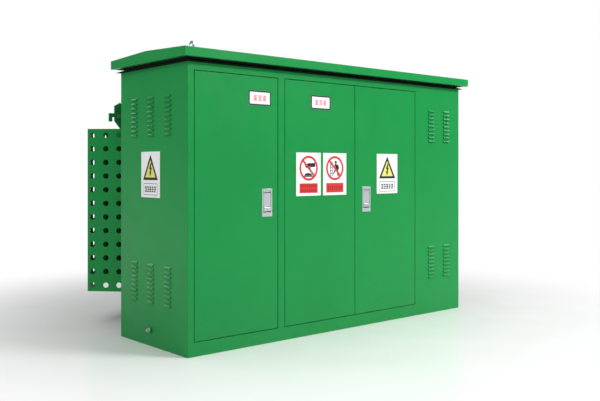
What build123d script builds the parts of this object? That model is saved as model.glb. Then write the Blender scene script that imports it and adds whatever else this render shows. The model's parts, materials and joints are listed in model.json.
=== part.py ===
from build123d import *
import os
from math import sqrt

# Pad-mounted transformer: a sheet-metal switch cabinet in front of an oil
# tank with three banks of panel radiators behind perforated guards.
# Millimetres.  +Z up, -Y is the door side, +X to the right of the doors.
# Origin: centre of the four anchor holes, on the bottom face of the base.

os.makedirs("parts", exist_ok=True)

# ------------------------------------------------------------ driving sizes
W, D, H = 2380.0, 725.0, 1600.0          # cabinet body
XL, XR = -W / 2, W / 2                   # side faces
YF = -665.0                              # front face
YB = YF + D                              # back face of the cabinet
T = 2.5                                  # cabinet sheet
DOOR_Z0, DOOR_Z1 = 76.0, 1557.0          # door openings
OPEN1 = (-1149.0, -551.0)                # high-voltage door opening
OPEN2 = (-502.0, 98.0)                   # low-voltage left leaf
OPEN3 = (98.0, 698.0)                    # low-voltage right leaf
GAP = 4.0                                # gap round the leaves (2 at the meeting line)
LEAF_T = 25.0                            # leaf depth
PIVOT_IN = 7.0                           # pivot axis from leaf edge and from the face
PIN_R = 4.0
LOCK_Z = 821.5                           # middle of both lock plates
LOCK1_X, LOCK3_X = -637.0, 204.5
ANCHOR_X, ANCHOR_Y, ANCHOR_R = 1800.0, 900.0, 11.0

LEAF1 = (OPEN1[0] + GAP, OPEN1[1] - GAP)
LEAF2 = (OPEN2[0] + GAP, OPEN2[1] - GAP / 2)
LEAF3 = (OPEN3[0] + GAP / 2, OPEN3[1] - GAP)
LZ0, LZ1 = DOOR_Z0 + GAP, DOOR_Z1 - GAP
YP = YF + PIVOT_IN                       # pivot axis

ROOF = dict(x=1238.0, y0=-713.0, y1=100.0, z0=1623.0, z1=1673.0, ridge=1690.0)
TANK = [(-1020, 60), (1020, 60), (1020, 347), (700, 667), (-700, 667), (-1020, 347)]
TANK_Z0, TANK_Z1 = 80.0, 1424.0
S = sqrt(0.5)


def block(x0, x1, y0, y1, z0, z1, mode=Mode.ADD):
    with Locations(((x0 + x1) / 2, (y0 + y1) / 2, (z0 + z1) / 2)):
        Box(x1 - x0, y1 - y0, z1 - z0, mode=mode)


def bar_x(r, x0, x1, y, z, mode=Mode.ADD):
    with Locations(Location(((x0 + x1) / 2, y, z), (0, 90, 0))):
        Cylinder(r, x1 - x0, mode=mode)


def bar_y(r, y0, y1, x, z, mode=Mode.ADD):
    with Locations(Location((x, (y0 + y1) / 2, z), (90, 0, 0))):
        Cylinder(r, y1 - y0, mode=mode)


def bar_z(r, z0, z1, x, y, mode=Mode.ADD):
    with Locations((x, y, (z0 + z1) / 2)):
        Cylinder(r, z1 - z0, mode=mode)


def save(part, name):
    part.label = name
    export_step(part, "parts/" + name + ".step")


# ------------------------------------------------------------ pressed louvre
# One louvre in its own frame: x across, y up, z outwards from the sheet.
LV_W, LV_PITCH, LV_N = 63.0, 26.6, 9
with BuildPart() as louvre_hood:
    with BuildSketch(Plane.YZ.offset(-LV_W / 2)):
        with BuildLine():
            Polyline((7, -1), (7, 0), (-1, 8), (-6.5, 8), (-6.5, -1), close=True)
        make_face()
    extrude(amount=LV_W)
with BuildPart() as louvre_void:
    with BuildSketch(Plane.YZ.offset(-LV_W / 2 + 1.5)):
        with BuildLine():
            Polyline((4.88, -4), (4.88, 0), (-1.62, 6.5), (-8, 6.5), (-8, 0.01), (-4.5, 0), (-4.5, -4), close=True)
        make_face()
    extrude(amount=LV_W - 3)


def louvres(face, columns, rows):
    # pressed hoods with the slot behind each, on one face of the current part
    spots = [Pos(c, r + (i - (LV_N - 1) / 2) * LV_PITCH, 0)
             for c in columns for r in rows for i in range(LV_N)]
    with Locations(*[face.location * s for s in spots]):
        add(louvre_hood.part)
    with Locations(*[face.location * s for s in spots]):
        add(louvre_void.part, mode=Mode.SUBTRACT)


LV_ROWS = (1321.0, 360.0)
LV_SIDE = (-466.0, -284.0, -102.0)
LV_FRONT = (870.5, 1039.0)

# ---------------------------------------------------------------- base frame
# channels 80 x 48: two skids with the anchor holes, three cross bearers
with BuildPart() as base_frame:
    for sx in (-1, 1):
        with BuildSketch(Plane.XZ.offset(630)):
            with Locations((sx * 900, 40)):
                Rectangle(48, 80)
            with Locations((sx * 897, 40)):
                Rectangle(44, 66, mode=Mode.SUBTRACT)
        extrude(amount=-1150)
    for y in (-600, 15, 477):
        with BuildSketch(Plane.YZ.offset(-875.6)):
            with Locations((y + 21.5, 40)):
                Rectangle(43, 80)
            with Locations((y + 24, 40)):
                Rectangle(40, 66, mode=Mode.SUBTRACT)
        extrude(amount=1751.2)
    with Locations((0, 0, 4)):
        with GridLocations(ANCHOR_X, ANCHOR_Y, 2, 2):
            Cylinder(ANCHOR_R, 30, mode=Mode.SUBTRACT)
save(base_frame.part, "base_frame")

# floor of the cabinet: five sheets that leave one cable opening under each
# compartment
CABLE_HV = (-860.0, -600.0, -420.0, -220.0)
CABLE_LV = (-150.0, 450.0, -420.0, -220.0)
with BuildPart() as floor_plate:
    block(XL + T, XR - T, -605, CABLE_HV[2] - 0.15, 80, 83)
    block(XL + T, XR - T, CABLE_HV[3] + 0.15, YB, 80, 83)
    for x0, x1 in ((XL + T, CABLE_HV[0]), (CABLE_HV[1], CABLE_LV[0]), (CABLE_LV[1], XR - T)):
        block(x0, x1, CABLE_HV[2] + 0.15, CABLE_HV[3] - 0.15, 80, 83)
save(floor_plate.part, "floor_plate")

# ------------------------------------------------------- cabinet front frame
LIP_Y = (-635.0, -632.5)
with BuildPart() as cabinet_front_frame:
    # sill
    x0, x1 = OPEN1[0] + 0.2, OPEN3[1] - 0.2
    block(x0, x1, YF, YF + T, 0, DOOR_Z0)
    block(x0, x1, YF, LIP_Y[1], 0, T)
    block(x0, x1, YF, LIP_Y[1], DOOR_Z0 - T, DOOR_Z0)
    block(x0, x1, LIP_Y[0], LIP_Y[1], DOOR_Z0 - T, 92)
    # header
    block(x0, x1, YF, YF + T, DOOR_Z1, H)
    block(x0, x1, YF, LIP_Y[1], DOOR_Z1, DOOR_Z1 + T)
    block(x0, x1, YF, LIP_Y[1], H - T, H)
    block(x0, x1, LIP_Y[0], LIP_Y[1], 1541, DOOR_Z1 + T)
    # room for the post, and for the two latch rods, in both stop lips
    for z0, z1 in ((DOOR_Z0, 93), (1540, DOOR_Z1)):
        block(OPEN1[1] - 0.5, OPEN2[0] + 0.5, LIP_Y[0] - 1, LIP_Y[1] + 1, z0, z1, mode=Mode.SUBTRACT)
        block(LOCK3_X - 12, LOCK3_X + 12, LIP_Y[0] - 1, LIP_Y[1] + 1, z0, z1, mode=Mode.SUBTRACT)
    # holes for the six pivot pins
    for px in (LEAF1[0] + PIVOT_IN, LEAF2[0] + PIVOT_IN, LEAF3[1] - PIVOT_IN):
        for z in (DOOR_Z0 - T / 2, DOOR_Z1 + T / 2):
            bar_z(PIN_R + 0.05, z - 3, z + 3, px, YP, mode=Mode.SUBTRACT)
    # post between the two compartments: box section with two stop lips
    block(OPEN1[1], OPEN2[0], YF, -625, DOOR_Z0 + 0.2, DOOR_Z1 - 0.2)
    block(OPEN1[1] + T, OPEN2[0] - T, YF + T, -625 - T, DOOR_Z0, DOOR_Z1, mode=Mode.SUBTRACT)
    block(OPEN1[1] - 16, OPEN1[1], *LIP_Y, 92.2, 1540.8)
    block(OPEN2[0], OPEN2[0] + 16, *LIP_Y, 92.2, 1540.8)
    block(OPEN1[1] - 17, OPEN1[1], LIP_Y[0] - 1, LIP_Y[1] + 1, LOCK_Z - 24, LOCK_Z + 24, mode=Mode.SUBTRACT)
save(cabinet_front_frame.part, "cabinet_front_frame")

# ---------------------------------------------------------------- side panels
EARTH_Y, EARTH_Z = -284.0, 93.0
with BuildPart() as left_side_panel:
    with BuildSketch(Plane.XY):
        with Locations(((XL + XL + T) / 2, (YF + YB) / 2)):
            Rectangle(T, D)
        with Locations(((XL + OPEN1[0]) / 2, YF + T / 2)):
            Rectangle(OPEN1[0] - XL, T)
        with Locations((OPEN1[0] - T / 2, (YF + LIP_Y[1]) / 2)):
            Rectangle(T, LIP_Y[1] - YF)
    extrude(amount=H)
    fillet(left_side_panel.edges().filter_by(Axis.Z).sort_by_distance((XL, YF, H / 2))[0], radius=2.4)
    block(OPEN1[0] - T, OPEN1[0] + 16, *LIP_Y, 92.2, 1540.8)
    block(XL, XL + 42, -632, YB - 3, H - T, H)
    louvres(Plane(origin=(XL, 0, 0), x_dir=(0, -1, 0), z_dir=(-1, 0, 0)), [-y for y in LV_SIDE], LV_ROWS)
    block(XL - 10, XL, EARTH_Y - 14, EARTH_Y + 14, EARTH_Z - 14, EARTH_Z + 14)
    bar_x(6.05, XL - 11, XL + 3, EARTH_Y, EARTH_Z, mode=Mode.SUBTRACT)
save(left_side_panel.part, "left_side_panel")

with BuildPart() as right_side_panel:
    block(XR - T, XR, YF, YB, 0, H)
    fillet(right_side_panel.edges().filter_by(Axis.Z).sort_by_distance((XR, YF, H / 2))[0], radius=2.4)
    block(XR - 42, XR, -632, YB - 3, H - T, H)
    louvres(Plane(origin=(XR, 0, 0), x_dir=(0, 1, 0), z_dir=(1, 0, 0)), LV_SIDE, LV_ROWS)
save(right_side_panel.part, "right_side_panel")

# fixed louvred panel to the right of the doors, with the stop lip of leaf 3
with BuildPart() as front_vent_panel:
    with BuildSketch(Plane.XY):
        with Locations(((OPEN3[1] + XR - T) / 2, YF + T / 2)):
            Rectangle(XR - T - OPEN3[1], T)
        with Locations((OPEN3[1] + T / 2, (YF + LIP_Y[1]) / 2)):
            Rectangle(T, LIP_Y[1] - YF)
        with Locations(((OPEN3[1] + XR - T) / 2 + 200, YF + 12)):
            Rectangle(T, 20)
    extrude(amount=H)
    block(OPEN3[1] - 16, OPEN3[1] + T, *LIP_Y, 92.2, 1540.8)
    block(OPEN3[1], XR - T, YF, -632.5, H - T, H)
    louvres(Plane(origin=(0, YF, 0), x_dir=(1, 0, 0), z_dir=(0, -1, 0)), LV_FRONT, LV_ROWS)
save(front_vent_panel.part, "front_vent_panel")

# back panel, open towards the tank wall
with BuildPart() as cabinet_back_panel:
    block(XL + T, XR - T, YB - T, YB, 83, H)
    block(-1000, 1000, YB - 10, YB + 10, 90, 1411, mode=Mode.SUBTRACT)
    block(-1054, 1054, YB - 10, YB + 10, 1398, 1462, mode=Mode.SUBTRACT)
    block(XL + 42.2, XR - 42.2, YB - 42, YB, H - T, H)
save(cabinet_back_panel.part, "cabinet_back_panel")

# sheet wall between the two compartments
with BuildPart() as compartment_barrier:
    block(-528, -525.5, -624.8, YB - T - 0.2, 83, H - T - 0.2)
    block(-528, -525.5, YB - T - 1, YB - 0.2, 91, 1390)
    block(-530, -520, 18, YB + 1, 1395, 1465, mode=Mode.SUBTRACT)
save(compartment_barrier.part, "compartment_barrier")

# ----------------------------------------------------------------------- roof
NX, NY0, NY1 = 1170.0, -645.0, 40.0
with BuildPart() as roof_neck:
    # four strips, the side ones between the long ones
    block(-NX, NX, NY0, NY0 + T, H, 1672.3)
    block(-NX, NX, NY1 - T, NY1, H, 1672.3)
    block(-NX, -NX + T, NY0 + T + 0.2, NY1 - T - 0.2, H, 1672.3)
    block(NX - T, NX, NY0 + T + 0.2, NY1 - T - 0.2, H, 1672.3)
save(roof_neck.part, "roof_neck")

with BuildPart() as eave_strip:
    for dz, mode in ((2.0, Mode.ADD), (0.0, Mode.SUBTRACT)):
        with BuildSketch(Plane.XY.offset(1600 + dz)):
            with Locations((0, (NY0 + NY1) / 2)):
                Rectangle(2 * NX + 90, NY1 - NY0 + 90)
        with BuildSketch(Plane.XY.offset(1617 + dz)):
            with Locations((0, (NY0 + NY1) / 2)):
                Rectangle(2 * NX + 0.4, NY1 - NY0 + 0.4)
        loft(mode=mode)
    block(-NX - 0.2, NX + 0.2, NY0 - 0.2, NY1 + 0.2, 1590, 1630, mode=Mode.SUBTRACT)
save(eave_strip.part, "eave_strip")

EYES = ((-1122.0, -605.0), (1122.0, -8.0))
with BuildPart() as roof_cover:
    # two sloped sheets, and under their edges four fascias with a return lip
    y0, y1, z0, z1, zr, rx = (ROOF[k] for k in ("y0", "y1", "z0", "z1", "ridge", "x"))
    ym = (y0 + y1) / 2

    def under(y):
        return z1 + (zr - z1) * min(y - y0, y1 - y) / (ym - y0) - T - 0.2

    for ya, yb in ((y0, ym - 0.1), (y1, ym + 0.1)):
        with BuildSketch(Plane.YZ.offset(-rx)):
            with BuildLine():
                Polyline((ya, z1), (yb, zr), (yb, zr - T), (ya, z1 - T), close=True)
            make_face()
        extrude(amount=2 * rx)
    fillet(roof_cover.edges().filter_by(Axis.X).filter_by(lambda e: abs(e.center().Z - z1) < 0.01), radius=2.2)
    for ya, yb, yl in ((y0, y0 + T, y0 + 25), (y1, y1 - T, y1 - 25)):
        block(-rx, rx, min(ya, yb), max(ya, yb), z0, z1 - T - 0.2)
        block(-rx + T + 0.2, rx - T - 0.2, min(ya, yl), max(ya, yl), z0, z0 + T)
    ye0, ye1 = y0 + T + 0.2, y1 - T - 0.2
    for xa, xl in ((-rx, -rx + 25), (rx - T, rx - 25)):
        with BuildSketch(Plane.YZ.offset(xa)):
            with BuildLine():
                Polyline((ye0, z0), (ye0, under(ye0)), (ym, under(ym)), (ye1, under(ye1)), (ye1, z0), close=True)
            make_face()
        extrude(amount=T)
        block(min(xa, xl), max(xa + T, xl), y0 + 25.2, y1 - 25.2, z0, z0 + T)
    for ex, ey in EYES:
        bar_z(6, 1660, 1700, ex, ey, mode=Mode.SUBTRACT)
save(roof_cover.part, "roof_cover")

with BuildPart() as roof_lifting_eyes:
    for ex, ey in EYES:
        bar_z(5, 1662, 1686, ex, ey)
        bar_z(9, 1662, 1671, ex, ey)
        bar_z(14, 1678.7, 1684, ex, ey)
        with BuildSketch(Plane(origin=(ex - 5, ey, 1702.5), x_dir=(0, 1, 0), z_dir=(1, 0, 0))):
            Circle(22.5)
            Circle(12.5, mode=Mode.SUBTRACT)
        extrude(amount=10)
    fillet(roof_lifting_eyes.edges().filter_by(GeomType.CIRCLE).filter_by(lambda e: abs(e.radius - 22.5) < 0.01 and e.length > 100), radius=3.5)
save(roof_lifting_eyes.part, "roof_lifting_eyes")

# -------------------------------------------------------------- pivot pins
with BuildPart() as door_pivot_pins:
    for px in (LEAF1[0] + PIVOT_IN, LEAF2[0] + PIVOT_IN, LEAF3[1] - PIVOT_IN):
        bar_z(PIN_R, 66, 112, px, YP)
        bar_z(6.5, DOOR_Z0, LZ0 - 0.3, px, YP)
        bar_z(PIN_R, 1521, 1567, px, YP)
        bar_z(6.5, LZ1 + 0.3, DOOR_Z1, px, YP)
save(door_pivot_pins.part, "door_pivot_pins")


# -------------------------------------------------------------------- doors
def door_leaf(x0, x1, hinge_x, lock_x, ribs):
    # folded pan: front sheet, four returns, inner lip, hinge blocks, ribs
    with BuildPart() as leaf:
        block(x0, x1, YF, YF + LEAF_T, LZ0, LZ1)
        fillet(leaf.faces().sort_by(Axis.Y)[0].edges(), radius=1.9)
        block(x0 + 2, x1 - 2, YF + 2, YF + LEAF_T - 2, LZ0 + 2, LZ1 - 2, mode=Mode.SUBTRACT)
        block(x0 + 14, x1 - 14, YF + 10, YF + LEAF_T + 5, LZ0 + 14, LZ1 - 14, mode=Mode.SUBTRACT)
        s = 1 if hinge_x < (x0 + x1) / 2 else -1
        a, b = sorted((hinge_x - s * 6, hinge_x + s * 9))
        for z0, z1 in ((LZ0 + 1, LZ0 + 42), (LZ1 - 42, LZ1 - 1)):
            block(a, b, YF + 1, YF + LEAF_T - 5, z0, z1)
        for rx in ribs:
            block(rx - 24, rx + 24, YF + 1, YF + 20, LZ0 + 50, LZ1 - 50)
            block(rx - 22, rx + 22, YF + 2, YF + 18, LZ0 + 49, LZ1 - 49, mode=Mode.SUBTRACT)
        for z in (LZ0, LZ1):
            bar_z(PIN_R + 0.06, z - 36, z + 36, hinge_x, YP, mode=Mode.SUBTRACT)
        if lock_x is not None:
            block(lock_x - 34.3, lock_x + 34.3, YF - 1, YF + 5, LOCK_Z - 67.8, LOCK_Z + 77.8, mode=Mode.SUBTRACT)
    return leaf


def door_seal(x0, x1):
    with BuildPart() as seal:
        block(x0 + 3, x1 - 3, YF + LEAF_T, YF + LEAF_T + 4, LZ0 + 3, LZ1 - 3)
        block(x0 + 13, x1 - 13, YF + LEAF_T - 1, YF + LEAF_T + 5, LZ0 + 13, LZ1 - 13, mode=Mode.SUBTRACT)
        fillet(seal.faces().sort_by(Axis.Y)[-1].edges(), radius=1.5)
    return seal


HX1, HX2, HX3 = LEAF1[0] + PIVOT_IN, LEAF2[0] + PIVOT_IN, LEAF3[1] - PIVOT_IN
hv_door = door_leaf(*LEAF1, HX1, LOCK1_X, (-1000.0, -770.0))
save(hv_door.part, "hv_door")
lv_left_door = door_leaf(*LEAF2, HX2, None, (-340.0, -62.0))
save(lv_left_door.part, "lv_left_door")
lv_right_leaf = door_leaf(*LEAF3, HX3, LOCK3_X, (330.0, 560.0))
ROD_Y = -622.0
with BuildPart() as lv_right_door:
    add(lv_right_leaf.part)
    for z in (125.0, 1480.0):
        block(LOCK3_X - 12, LOCK3_X + 12, YF + 1, ROD_Y + 10, z, z + 6)
        bar_z(5.05, z - 3, z + 9, LOCK3_X, ROD_Y, mode=Mode.SUBTRACT)
save(lv_right_door.part, "lv_right_door")

for span, name in ((LEAF1, "hv_door_seal"), (LEAF2, "lv_left_door_seal"), (LEAF3, "lv_right_door_seal")):
    save(door_seal(*span).part, name)


# plates riveted on the doors and on the left side
def plate_front(x0, x1, z0, z1):
    block(x0, x1, YF - 1.5, YF, z0, z1)


with BuildPart() as hv_name_plate:
    plate_front(-773.5, -608.5, 1386, 1471)
save(hv_name_plate.part, "hv_name_plate")

SIGN_Z = (854.0, 1118.0)
with BuildPart() as lv_left_plates:
    plate_front(-288, -123, 1386, 1471)
    plate_front(-409.5, -205.5, *SIGN_Z)
    plate_front(-186, 18, *SIGN_Z)
save(lv_left_plates.part, "lv_left_plates")

with BuildPart() as front_danger_sign:
    plate_front(304.5, 508.5, *SIGN_Z)
save(front_danger_sign.part, "front_danger_sign")

with BuildPart() as side_danger_sign:
    block(XL - 1.5, XL, -284 - 102, -284 + 102, *SIGN_Z)
save(side_danger_sign.part, "side_danger_sign")


# ------------------------------------------------------------------- locks
# flush paddle lock: plate with window, housing, lever on a cross pin, button
def lock_plate(xc, rods):
    zb, zt = LOCK_Z - 81.5, LOCK_Z + 81.5
    with BuildPart() as lock:
        block(xc - 38, xc + 38, YF - 3, YF, zb, zt)
        fillet(lock.edges().filter_by(Axis.Y), radius=4)
        fillet(lock.faces().sort_by(Axis.Y)[0].edges(), radius=1.2)
        block(xc - 34, xc + 34, YF - 0.5, YF + 35, zb + 14, zt - 4)
        block(xc - 29, xc + 29, YF - 10, YF + 31, zb + 24, zt - 9, mode=Mode.SUBTRACT)
        bar_x(2.5, xc - 30, xc + 30, YF + 5, zt - 31)
        if rods:
            block(xc - 12, xc + 12, YF + 34, ROD_Y + 8, LOCK_Z - 32, LOCK_Z + 32)
            bar_z(5.05, LOCK_Z - 40, LOCK_Z + 40, xc, ROD_Y, mode=Mode.SUBTRACT)
        else:
            block(xc - 28, xc + 32, YF + 34, -611.7, LOCK_Z - 18, LOCK_Z + 18)
            block(xc - 40, xc + 40, -628.3, -615.7, LOCK_Z - 12.8, LOCK_Z + 12.8, mode=Mode.SUBTRACT)
    return lock


def lock_lever(xc):
    zt = LOCK_Z + 81.5
    with BuildPart() as lever:
        block(xc - 27, xc + 27, YF - 2.5, YF + 3.5, zt - 106, zt - 26)
        fillet(lever.faces().sort_by(Axis.Y)[0].edges(), radius=1.5)
        block(xc - 20, xc + 20, YF + 1, YF + 5, zt - 106, zt - 98)
        bar_x(5.5, xc - 27, xc + 27, YF + 5, zt - 31)
        bar_x(2.56, xc - 40, xc + 40, YF + 5, zt - 31, mode=Mode.SUBTRACT)
    return lever


def lock_button(xc):
    zb = LOCK_Z - 81.5
    with BuildPart() as button:
        block(xc - 26.5, xc + 26.5, YF - 5, YF + 10, zb + 31.5, zb + 55.5)
        fillet(button.faces().sort_by(Axis.Y)[0].edges(), radius=3)
        block(xc - 8, xc + 8, YF + 9, YF + 24, zb + 38, zb + 50)
    return button


save(lock_plate(LOCK1_X, False).part, "hv_lock_plate")
save(lock_lever(LOCK1_X).part, "hv_lock_lever")
save(lock_button(LOCK1_X).part, "hv_lock_button")
save(lock_plate(LOCK3_X, True).part, "lv_lock_plate")
save(lock_lever(LOCK3_X).part, "lv_lock_lever")
save(lock_button(LOCK3_X).part, "lv_lock_button")

with BuildPart() as hv_latch_bolt:
    block(-648, -556, -628, -616, LOCK_Z - 12.5, LOCK_Z + 12.5)
    chamfer(hv_latch_bolt.faces().sort_by(Axis.X)[-1].edges().filter_by(Axis.Z), length=2.5)
save(hv_latch_bolt.part, "hv_latch_bolt")
with BuildPart() as lv_latch_rod_top:
    bar_z(5, LOCK_Z + 23, 1551, LOCK3_X, ROD_Y)
    chamfer(lv_latch_rod_top.edges().sort_by(Axis.Z)[-1], length=2)
save(lv_latch_rod_top.part, "lv_latch_rod_top")
with BuildPart() as lv_latch_rod_bottom:
    bar_z(5, 82, LOCK_Z - 23, LOCK3_X, ROD_Y)
    chamfer(lv_latch_rod_bottom.edges().sort_by(Axis.Z)[0], length=2)
save(lv_latch_rod_bottom.part, "lv_latch_rod_bottom")

# ---------------------------------------------------------------- earth stud
with BuildPart() as earth_stud:
    bar_x(6, XL - 31, XL + 2, EARTH_Y, EARTH_Z)
    bar_x(13, XL - 12.5, XL - 10, EARTH_Y, EARTH_Z)
    with BuildSketch(Plane.YZ.offset(XL - 22.5)):
        with Locations((EARTH_Y, EARTH_Z)):
            RegularPolygon(10.5, 6)
    extrude(amount=10.2)
    chamfer(earth_stud.edges().sort_by(Axis.X)[0], length=1.2)
save(earth_stud.part, "earth_stud")

# ----------------------------------------------------------------------- tank
FUSE_X = (-920.0, -790.0, -660.0)
FUSE_Z = 760.0
SWITCH = (-900.0, 1180.0)
TAP = (-680.0, 1180.0)
with BuildPart() as tank_shell:
    with BuildSketch(Plane.XY.offset(TANK_Z0)):
        Polygon(*TANK, align=None)
    extrude(amount=TANK_Z1 - TANK_Z0)
    with BuildSketch(Plane.XY.offset(TANK_Z1 - 12)):
        Polygon(*TANK, align=None)
        offset(amount=30, kind=Kind.INTERSECTION)
    extrude(amount=12)
    with BuildSketch(Plane.XY.offset(TANK_Z0 + 8)):
        Polygon(*TANK, align=None)
        offset(amount=-5, kind=Kind.INTERSECTION)
    extrude(amount=TANK_Z1, mode=Mode.SUBTRACT)
    for fx in FUSE_X:
        bar_y(30, 50, 62, fx, FUSE_Z)
        bar_y(24, 62, 372, fx, FUSE_Z)
        bar_y(18.05, 40, 366, fx, FUSE_Z, mode=Mode.SUBTRACT)
    for sx, sz in (SWITCH, TAP):
        bar_y(28, 48, 62, sx, sz)
        bar_y(8.05, 40, 75, sx, sz, mode=Mode.SUBTRACT)

# flange bolts, 17 outside the tank wall
bolts = [(x, 43.0) for x in range(-1000, 1001, 200)] + [(x, 684.0) for x in range(-600, 601, 200)]
for sx in (-1, 1):
    bolts += [(sx * 1037.0, 168.0), (sx * 1037.0, 248.0)]
    bolts += [(sx * (860 + 17 * S - a * S), 507 + 17 * S + a * S) for a in (-150, 0, 150)]
with BuildPart() as tank_shell_drilled:
    add(tank_shell.part)
    with Locations(*[(x, y, TANK_Z1 - 6) for x, y in bolts]):
        Cylinder(6.5, 20, mode=Mode.SUBTRACT)
save(tank_shell_drilled.part, "tank_shell")

with BuildPart() as lid_gasket:
    with BuildSketch(Plane.XY.offset(TANK_Z1)):
        Polygon(*TANK, align=None)
        offset(amount=28, kind=Kind.INTERSECTION)
        with BuildSketch(mode=Mode.PRIVATE) as gasket_hole:
            Polygon(*TANK, align=None)
            offset(amount=4, kind=Kind.INTERSECTION)
        add(gasket_hole.sketch, mode=Mode.SUBTRACT)
        with Locations(*bolts):
            Circle(6.5, mode=Mode.SUBTRACT)
    extrude(amount=5)
save(lid_gasket.part, "lid_gasket")

with BuildPart() as tank_lid:
    with BuildSketch(Plane.XY.offset(TANK_Z1 + 5)):
        Polygon(*TANK, align=None)
        offset(amount=30, kind=Kind.INTERSECTION)
        with Locations(*bolts):
            Circle(6.5, mode=Mode.SUBTRACT)
    extrude(amount=10)
    # two cross ribs pressed on the lid and a blanked filler boss
    for rx in (-500, 500):
        block(rx - 20, rx + 20, 120, 600, TANK_Z1 + 14, TANK_Z1 + 27)
    bar_z(45, TANK_Z1 + 14, TANK_Z1 + 35, 0, 380)
save(tank_lid.part, "tank_lid")

LUG_Y = (110.0, 320.0)
LUG_BOLT = (-1065.0, 1358.0)
with BuildPart() as tank_bolts:
    with BuildSketch(Plane.XY.offset(TANK_Z1 + 15)):
        with Locations(*bolts):
            RegularPolygon(10.5, 6)
    extrude(amount=8)
    with BuildSketch(Plane.XY.offset(TANK_Z1 - 22)):
        with Locations(*bolts):
            RegularPolygon(10.5, 6)
    extrude(amount=10)
    with BuildSketch(Plane.XY.offset(TANK_Z1 - 26)):
        with Locations(*bolts):
            Circle(6)
    extrude(amount=42)
    for ly in LUG_Y:
        for sx in (-1, 1):
            bar_y(8, ly - 14, ly + 18, sx * LUG_BOLT[0], LUG_BOLT[1])
            with BuildSketch(Plane.XZ.offset(-(ly - 6))):
                with Locations((sx * LUG_BOLT[0], LUG_BOLT[1])):
                    RegularPolygon(14, 6)
            extrude(amount=10)
            with BuildSketch(Plane.XZ.offset(-(ly + 18))):
                with Locations((sx * LUG_BOLT[0], LUG_BOLT[1])):
                    RegularPolygon(14, 6)
            extrude(amount=12)
save(tank_bolts.part, "tank_bolts")

# lifting hooks: plates on the tank sides with a downward-open hook nose
HOOK = [(-1020, 1240), (-1094, 1327), (-1094, 1350), (-1112, 1350), (-1112, 1322), (-1133, 1322),
        (-1133, 1375), (-1094, 1375), (-1094, 1424), (-1053, 1446), (-1053, 1411.5), (-1020, 1411.5)]
with BuildPart() as lifting_lugs:
    for ly in LUG_Y:
        for sx in (1, -1):
            with BuildSketch(Plane.XZ.offset(-(ly + 6))):
                Polygon(*[(sx * x, z) for x, z in HOOK], align=None)
                with Locations((sx * LUG_BOLT[0], LUG_BOLT[1])):
                    Circle(8.5, mode=Mode.SUBTRACT)
            extrude(amount=12)
save(lifting_lugs.part, "lifting_lugs")


# ------------------------------------------------------- radiators and guards
def radiator(plane, x0, x1):
    # flat panels parallel to the tank wall on two header pipes
    with BuildPart(plane) as rad:
        for y in (45, 90, 135, 180):
            block(x0, x1, y - 6, y + 6, 300, 1200)
        fillet(rad.edges().filter_by(Axis.Z), radius=5)
        for z in (355, 1145):
            bar_y(24, 0.2, 186, (x0 + x1) / 2, z)
    return rad


RAD_LEFT = Plane(origin=(-860, 507, 0), x_dir=(S, S, 0), z_dir=(0, 0, 1))
radiator_left = radiator(RAD_LEFT, -178, 200)
save(radiator_left.part, "radiator_left")
with BuildPart() as radiator_right:
    mirror(radiator_left.part, about=Plane.YZ)
save(radiator_right.part, "radiator_right")
RAD_REAR = Plane(origin=(0, 667, 0), x_dir=(1, 0, 0), z_dir=(0, 0, 1))
rear_a = radiator(RAD_REAR, -640, -30)
rear_b = radiator(RAD_REAR, 30, 640)
with BuildPart() as radiator_rear:
    add(rear_a.part)
    add(rear_b.part)
save(radiator_rear.part, "radiator_rear")

G_Z0, G_Z1, G_DEPTH, G_T = 215.0, 1281.0, 240.0, 2.0
HOLE_R, HOLE_PX, HOLE_PZ, HOLE_N = 17.75, 88.0, 89.4, 12


def perforated(plane, width, columns):
    # upright plate with rows of round holes; the plane sits at its middle
    with BuildPart() as plate:
        with BuildSketch(plane):
            Rectangle(width, G_Z1 - G_Z0)
            with GridLocations(HOLE_PX, HOLE_PZ, columns, HOLE_N):
                Circle(HOLE_R, mode=Mode.SUBTRACT)
        extrude(amount=G_T)
    return plate.part


def guard(wall, x0, x1, columns):
    # near side, outer face and far side of one guard, as three plates
    zc = (G_Z0 + G_Z1) / 2
    n = wall.y_dir
    side_a = Plane(origin=wall.from_local_coords((x0, G_DEPTH / 2, zc)), x_dir=-n, z_dir=wall.x_dir)
    side_b = Plane(origin=wall.from_local_coords((x1 - G_T, G_DEPTH / 2, zc)), x_dir=-n, z_dir=wall.x_dir)
    face = Plane(origin=wall.from_local_coords(((x0 + x1) / 2, G_DEPTH, zc)), x_dir=-wall.x_dir, z_dir=n)
    return [perforated(side_a, G_DEPTH - 0.6, 3), perforated(side_b, G_DEPTH - 0.6, 3),
            perforated(face, x1 - x0, columns)]


with BuildPart() as guard_left:
    for p in guard(RAD_LEFT, -201.0, 224.0, 5):
        add(p)
save(guard_left.part, "guard_left")
with BuildPart() as guard_right:
    mirror(guard_left.part, about=Plane.YZ)
save(guard_right.part, "guard_right")
with BuildPart() as guard_rear:
    for p in guard(RAD_REAR, -668.0, 668.0, 15):
        add(p)
save(guard_rear.part, "guard_rear")

# ------------------------------------------------------- core and windings
LIMBS = (-420.0, 0.0, 420.0)
CY = 330.0
with BuildPart() as core:
    block(-485, 485, CY - 65, CY + 65, 88, 228)
    block(-485, 485, CY - 65, CY + 65, 900, 1040)
    for lx in LIMBS:
        block(lx - 65, lx + 65, CY - 65, CY + 65, 228, 900)
save(core.part, "core")
for name, ri, ro in (("lv_windings", 100, 135), ("hv_windings", 145, 195)):
    with BuildPart() as winding:
        for lx in LIMBS:
            bar_z(ro, 229, 885, lx, CY)
            bar_z(ri, 200, 899, lx, CY, mode=Mode.SUBTRACT)
    save(winding.part, name)

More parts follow.
